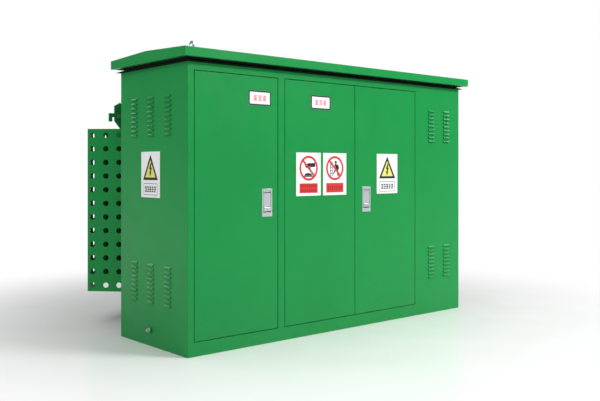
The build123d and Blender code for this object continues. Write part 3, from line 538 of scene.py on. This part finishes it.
lo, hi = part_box("front_danger_sign")
danger_sign("front_sign", Sheet(((lo.x + hi.x) / 2, lo.y, hi.z), **FRONT), "lv_right_door")
lo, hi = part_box("side_danger_sign")
danger_sign("side_sign", Sheet((lo.x, (lo.y + hi.y) / 2, hi.z), **LEFT), "enclosure")
lo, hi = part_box("lv_left_plates")
sign_top = lo.z + 0.264
no_sign("no_switching", Sheet((lo.x + 0.102, lo.y, sign_top), **FRONT), "lv_left_door", HAND, 2)
no_sign("no_climbing", Sheet((hi.x - 0.102, lo.y, sign_top), **FRONT), "lv_left_door", CLIMBER, 1)


def name_plate(tag, s, body):
    """Origin is the plate's centre, 165 x 85 mm: dark frame and pale blank marks."""
    printed(tag + "_frame", s, body, "black", [("hoop", round_rect(-82.3, 82.3, -42.3, 42.3, 3), round_rect(-74.5, 74.5, -34.5, 34.5, 2))], 0)
    printed(tag + "_marks", s, body, "pink", marks(-52, 52, -17, 17, 3, 0.26, 4), 0)


name_plate("lv_label", Sheet((lo.x + 0.204, lo.y, hi.z - 0.0425), **FRONT), "lv_left_door")
lo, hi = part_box("hv_name_plate")
name_plate("hv_label", Sheet(((lo.x + hi.x) / 2, lo.y, (lo.z + hi.z) / 2), **FRONT), "hv_door")

# -------------------------------------------------------------- lock details
def half_bar(name, x0, x1, y, z, r, body, mat):
    """Half-round bar along X, rounded at both ends, bulging towards -Y."""
    bm = bmesh.new()
    rings = []
    steps = [(0.0, 0.15), (0.25, 0.66), (0.6, 0.92), (1.0, 1.0)]
    xs = [(x0 + r * t, k) for t, k in steps] + [(x1 - r * t, k) for t, k in reversed(steps)]
    for x, k in xs:
        rings.append([bm.verts.new((x, y - r * k * math.sin(math.pi * i / 12), z + r * k * math.cos(math.pi * i / 12)))
                      for i in range(13)])
    for a, b in zip(rings, rings[1:]):
        for i in range(13):
            j = (i + 1) % 13
            bm.faces.new((a[i], a[j], b[j], b[i]))
    bm.faces.new(rings[0])
    bm.faces.new(rings[-1][::-1])
    return finish_mesh(bm, name, mat, body, smooth=50)


for side, door in (("hv", "hv_door"), ("lv", "lv_right_door")):
    lo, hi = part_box(side + "_lock_button")
    xc = (lo.x + hi.x) / 2
    half_bar(side + "_lock_lip", lo.x + 0.001, hi.x - 0.001, lo.y + 0.0002, hi.z - 0.0042, 0.0038, side + "_lock_button",
             MATS["lock_chrome"])
    face = Sheet((xc, lo.y, lo.z + 0.0085), **FRONT)
    bm = bmesh.new()
    slab(bm, face, scaled(circle(0, 0, 4.6, 40)), -0.0002, 0.0006)
    slab(bm, face, scaled(circle(0, 0, 3.4, 40)), 0.0006, 0.0009)
    finish_mesh(bm, side + "_key_barrel", MATS["valve_brass"], side + "_lock_button", smooth=30)
    # a thin black slab on the key barrel: painted shade for the dark keyway
    bm = bmesh.new()
    slab(bm, face, scaled(round_rect(-0.6, 0.6, -2.6, 2.6, 0.4)), 0.0008, 0.00105)
    finish_mesh(bm, side + "_keyway_shade", MATS["gauge_black"], side + "_lock_button")
    plo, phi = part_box(side + "_lock_plate")
    lev_lo, lev_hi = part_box(side + "_lock_lever")
    bm = bmesh.new()
    back = Sheet((xc, plo.y + 0.0042, lev_hi.z), **FRONT)
    slab(bm, back, scaled(round_rect(-28.4, 28.4, 4.8, 16.6, 1.5)), -0.0004, 0.0008)
    finish_mesh(bm, side + "_lock_pan", MATS["lock_chrome"], door)

# --------------------------------------------------------------- gauge dials
glo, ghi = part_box("tank_gauges")
for tag, gx, sweep in (("oil_level", -0.880, 0.62), ("oil_temperature", -0.760, 0.36)):
    dial = Sheet((gx, glo.y + 0.0030, 1.345), **FRONT)
    printed(tag + "_face", dial, "enclosure", "white", [("fill", circle(0, 0, 39.2, 64))], 1)
    ticks = []
    for i in range(21):
        ang = math.radians(225 - 270 * i / 20)
        d, n = Vector((math.cos(ang), math.sin(ang))), Vector((-math.sin(ang), math.cos(ang)))
        r0, w = (25.5, 0.75) if i % 5 == 0 else (29.0, 0.4)
        ticks.append(("fill", [tuple(d * r0 - n * w), tuple(d * 34 - n * w), tuple(d * 34 + n * w), tuple(d * r0 + n * w)]))
    printed(tag + "_scale", dial, "enclosure", "black", ticks, 2)
    band = [(36.2 * math.cos(math.radians(a)), 36.2 * math.sin(math.radians(a))) for a in range(-45, 16, 5)]
    band += [(33.8 * math.cos(math.radians(a)), 33.8 * math.sin(math.radians(a))) for a in range(15, -46, -5)]
    printed(tag + "_limit", dial, "enclosure", "red", [("fill", band)], 3)
    ang = math.radians(225 - 270 * sweep)
    d, n = Vector((math.cos(ang), math.sin(ang))), Vector((-math.sin(ang), math.cos(ang)))
    printed(tag + "_needle", dial, "enclosure", "black",
            [("fill", [tuple(d * -9 - n * 1.6), tuple(d * 31 - n * 0.4), tuple(d * 31 + n * 0.4), tuple(d * -9 + n * 1.6)])], 5)
    printed(tag + "_hub", dial, "enclosure", "black", [("fill", circle(0, 0, 4.2, 24))], 9)


# ---------------------------------------------- pressed ribs on the radiators
def rib(bm, base, along, across, out, length, width, height):
    rings = []
    n = 8
    ends = [(0.0, 0.04), (0.012, 0.55), (0.028, 0.86), (0.05, 1.0)]
    stations = [(t * length, k) for t, k in ends] + [((1 - t) * length, k) for t, k in reversed(ends)]
    for s, k in stations:
        rings.append([bm.verts.new(base + along * s + across * (width / 2 * (0.35 + 0.65 * k) * math.cos(math.pi * i / n))
                                   + out * (height * k * math.sin(math.pi * i / n) - 0.0002)) for i in range(n + 1)])
    for a, b in zip(rings, rings[1:]):
        for i in range(n):
            bm.faces.new((a[i], a[i + 1], b[i + 1], b[i]))
        bm.faces.new((a[n], a[0], b[0], b[n]))
    bm.faces.new(rings[0][::-1])
    bm.faces.new(rings[-1])


S2 = math.sqrt(0.5)
BANKS = (
    ("radiator_rear", Vector((0, 0.667, 0)), Vector((1, 0, 0)), Vector((0, 1, 0)), ((-0.640, -0.030), (0.030, 0.640))),
    ("radiator_left", Vector((-0.860, 0.507, 0)), Vector((S2, S2, 0)), Vector((-S2, S2, 0)), ((-0.178, 0.200),)),
    ("radiator_right", Vector((0.860, 0.507, 0)), Vector((-S2, S2, 0)), Vector((S2, S2, 0)), ((-0.178, 0.200),)),
)
for tag, origin, ex, ey, spans in BANKS:
    bm = bmesh.new()
    for x0, x1 in spans:
        count = max(3, int(round((x1 - x0 - 0.03) / 0.068)))
        pitch = (x1 - x0 - 0.03) / count
        for y in (0.045, 0.090, 0.135, 0.180):
            for sgn in (-1, 1):
                for i in range(count):
                    x = x0 + 0.015 + pitch * (i + 0.5)
                    base = origin + ex * x + ey * (y + sgn * 0.006) + Vector((0, 0, 0.345))
                    rib(bm, base, Vector((0, 0, 1)), ex, ey * sgn, 0.81, 0.046, 0.0042)
    finish_mesh(bm, tag + "_ribs", MATS["tank_green"], "enclosure", smooth=45)


# ------------------------------------------------- weld beads on the tank
def bead(bm, path, r, step=0.007):
    pts = []
    for a, b in zip(path, path[1:]):
        n = max(1, int((b - a).length / step))
        pts += [a.lerp(b, i / n) for i in range(n)]
    pts.append(path[-1])
    rings = []
    for i, p in enumerate(pts):
        t = (pts[min(i + 1, len(pts) - 1)] - pts[max(i - 1, 0)]).normalized()
        u = t.orthogonal().normalized() if abs(t.z) < 0.9 else Vector((1, 0, 0))
        v = t.cross(u).normalized()
        k = r * (0.82 + 0.18 * (i % 2) + rnd.uniform(-0.08, 0.10))
        rings.append([bm.verts.new(p + u * (k * math.cos(math.tau * j / 7)) + v * (k * math.sin(math.tau * j / 7))) for j in range(7)])
    for a, b in zip(rings, rings[1:]):
        for j in range(7):
            q = (j + 1) % 7
            bm.faces.new((a[j], a[q], b[q], b[j]))
    bm.faces.new(rings[0][::-1])
    bm.faces.new(rings[-1])


bm = bmesh.new()
for sx in (-1, 1):
    for cx, cy in ((1.020, 0.347), (0.700, 0.667)):
        bead(bm, [Vector((sx * cx, cy, 0.086)), Vector((sx * cx, cy, 1.400))], 0.0042)
    for ly in (0.110, 0.320):
        for dy in (-0.0065, 0.0065):
            bead(bm, [Vector((sx * 1.0205, ly + dy, 1.245)), Vector((sx * 1.0205, ly + dy, 1.400))], 0.0036)
finish_mesh(bm, "tank_weld_beads", MATS["tank_green"], "enclosure", smooth=60)

bm = bmesh.new()
for tag, origin, ex, ey, spans in BANKS:
    for x0, x1 in spans:
        for z in (0.355, 1.145):
            c = origin + ex * ((x0 + x1) / 2) + Vector((0, 0, z)) + ey * 0.0015
            ring = [c + ex * (0.0255 * math.cos(math.tau * i / 28)) + Vector((0, 0, 0.0255 * math.sin(math.tau * i / 28))) for i in range(29)]
            bead(bm, ring, 0.0034, 0.006)
finish_mesh(bm, "header_weld_beads", MATS["tank_green"], "enclosure", smooth=60)

# --------------------------------- closing strip between back sheet and lid
bm = bmesh.new()
behind = Sheet((0, 0.0602, 0), (1, 0, 0), (0, 0, 1), (0, 1, 0))
slab(bm, behind, scaled([(-1070, 1388), (-1020.6, 1388), (-1020.6, 1411), (-1050.8, 1411), (-1050.8, 1441.7), (1050.8, 1441.7),
                         (1050.8, 1411), (1020.6, 1411), (1020.6, 1388), (1070, 1388), (1070, 1478), (-1070, 1478)]), 0.0, 0.002)
finish_mesh(bm, "lid_closing_strip", MATS["cabinet_green"], "enclosure")
bm = bmesh.new()
slab(bm, behind, scaled(rect(-1050, 1050, 1439.1, 1441.6)), -0.0005, 0.0035)
finish_mesh(bm, "lid_closing_seal", MATS["seal_rubber"], "enclosure")

# ---------------------------------------------------------------------- stage
def floor():
    bm = bmesh.new()
    n, r0 = 96, 60.0
    rings = [[bm.verts.new((r * math.cos(2 * math.pi * i / n), r * math.sin(2 * math.pi * i / n), -0.0005)) for i in range(n)]
             for r in (2.5, 6.0, 15.0, r0)]
    bm.faces.new(rings[0])
    for a, b in zip(rings, rings[1:]):
        for i in range(n):
            j = (i + 1) % n
            bm.faces.new((a[i], b[i], b[j], a[j]))
    me = bpy.data.meshes.new("studio_floor")
    bm.to_mesh(me)
    bm.free()
    m = Nodes("studio_floor_white")
    dist = m.new("ShaderNodeVectorMath", operation="LENGTH")
    m.link(m.coord, dist.inputs[0])
    far = m.new("ShaderNodeMapRange", interpolation_type="SMOOTHSTEP")
    far.inputs["From Min"].default_value = 1.35
    far.inputs["From Max"].default_value = 3.3
    m.link(dist.outputs["Value"], far.inputs["Value"])
    m.set(Base_Color=m.mix(m.ramp(m.noise(0.7, 3, 0.5), 0.3, 0.7), (0.88, 0.89, 0.885), (0.90, 0.91, 0.905)),
          Roughness=m.ramp(m.noise(3.0, 3, 0.5), 0.3, 0.7, 0.20, 0.24), Specular_IOR_Level=0.75)
    glow = m.new("ShaderNodeEmission")
    glow.inputs[0].default_value = (1, 1, 1, 1)
    glow.inputs[1].default_value = 1.0
    both = m.new("ShaderNodeMixShader")
    m.link(far.outputs[0], both.inputs[0])
    m.link(m.bsdf.outputs[0], both.inputs[1])
    m.link(glow.outputs[0], both.inputs[2])
    m.link(both.outputs[0], m.out.inputs[0])
    me.materials.append(m.mat)
    o = bpy.data.objects.new("studio_floor", me)
    scene.collection.objects.link(o)


floor()
world = bpy.data.worlds.new("studio_world")
world.use_nodes = True
wt = world.node_tree
bg = wt.nodes["Background"]
bg.inputs[0].default_value = (1.0, 1.0, 1.0, 1.0)
sky = wt.nodes.new("ShaderNodeTexCoord")
split = wt.nodes.new("ShaderNodeSeparateXYZ")
wt.links.new(sky.outputs["Generated"], split.inputs[0])
lift = wt.nodes.new("ShaderNodeMapRange")
lift.interpolation_type = "SMOOTHSTEP"
lift.inputs["From Min"].default_value = 0.15
lift.inputs["From Max"].default_value = 0.95
lift.inputs["To Min"].default_value = WORLD
lift.inputs["To Max"].default_value = ZENITH
wt.links.new(split.outputs["Z"], lift.inputs["Value"])
wt.links.new(lift.outputs[0], bg.inputs[1])
seen = wt.nodes.new("ShaderNodeBackground")
seen.inputs[0].default_value = (1.0, 1.0, 1.0, 1.0)
seen.inputs[1].default_value = 1.0
path = wt.nodes.new("ShaderNodeLightPath")
pick = wt.nodes.new("ShaderNodeMixShader")
wt.links.new(path.outputs["Is Camera Ray"], pick.inputs[0])
wt.links.new(bg.outputs[0], pick.inputs[1])
wt.links.new(seen.outputs[0], pick.inputs[2])
wt.links.new(pick.outputs[0], wt.nodes["World Output"].inputs[0])
scene.world = world


def softbox(name, loc, target, size, power, colour=(1, 1, 1), sheen=False):
    d = bpy.data.lights.new(name, "AREA")
    d.shape = "RECTANGLE"
    d.size, d.size_y = size
    d.energy = power
    d.color = colour
    o = bpy.data.objects.new(name, d)
    o.location = loc
    o.rotation_euler = (Vector(target) - Vector(loc)).to_track_quat("-Z", "Y").to_euler()
    if sheen:
        o.visible_camera = o.visible_diffuse = False
    scene.collection.objects.link(o)


softbox("key", (2.6, -5.2, 4.9), (0.1, -0.66, 0.75), (2.2, 1.2), 340)
softbox("side", (-6.0, -1.0, 5.4), (-1.19, -0.3, 0.8), (1.6, 1.0), 82)
softbox("sheen_front", (4.2, -0.67, 4.65), (0.95, -0.67, 0.85), (3.0, 2.4), 190, sheen=True)
softbox("sheen_side", (-1.19, 4.84, 3.95), (-1.19, -0.3, 0.85), (3.0, 1.8), 62, sheen=True)
